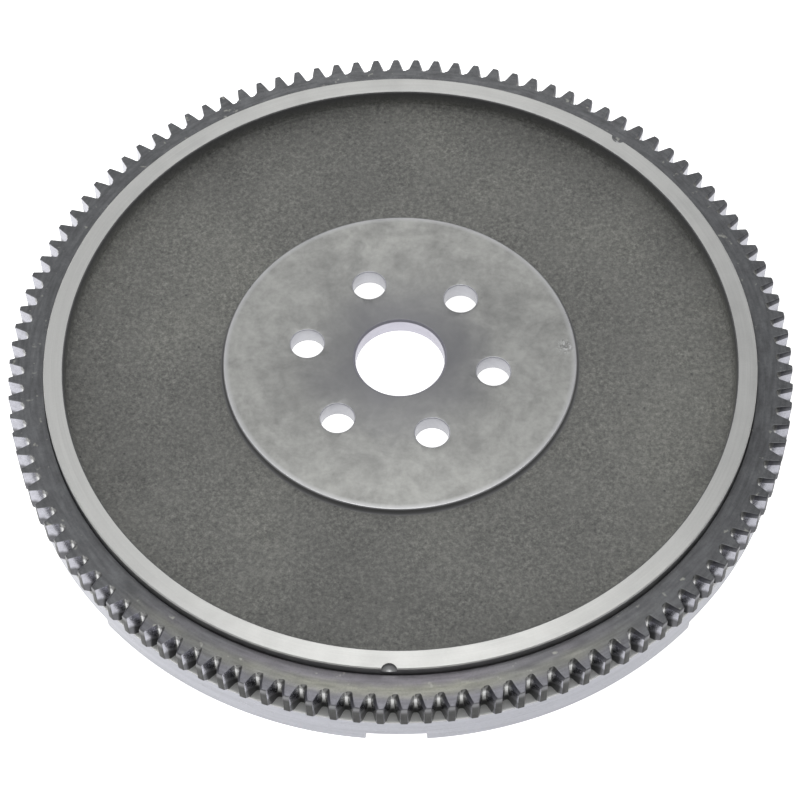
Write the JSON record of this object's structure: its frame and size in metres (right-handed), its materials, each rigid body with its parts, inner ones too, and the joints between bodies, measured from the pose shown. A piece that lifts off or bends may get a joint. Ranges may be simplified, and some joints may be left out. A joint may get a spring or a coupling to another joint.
{
  "type": "flywheel",
  "caption": "Cast-iron engine flywheel with a recessed engine side, a bolted crankshaft face, a shrunk-on starter ring gear and a stepped clutch side.",
  "frame": {"origin": "centre of the crankshaft bolt circle, on the face that meets the crankshaft flange", "axes": "+Z along the crankshaft axis towards the engine, -Z towards the clutch, -Y through the middle of a narrow gap between two cover pads"},
  "size_m": [0.2886, 0.2886, 0.0375],
  "materials": {
    "cast_iron": "as cast in the recess and the pot, turned bright on the working faces",
    "gear_steel": "dark, heat treated",
    "dowel_steel": "ground"
  },
  "bodies": {
    "root": {"flywheel_body": "cast_iron", "ring_gear": "gear_steel", "cover_dowel_1": "dowel_steel", "cover_dowel_2": "dowel_steel", "cover_dowel_3": "dowel_steel"}
  },
  "joints": []
}
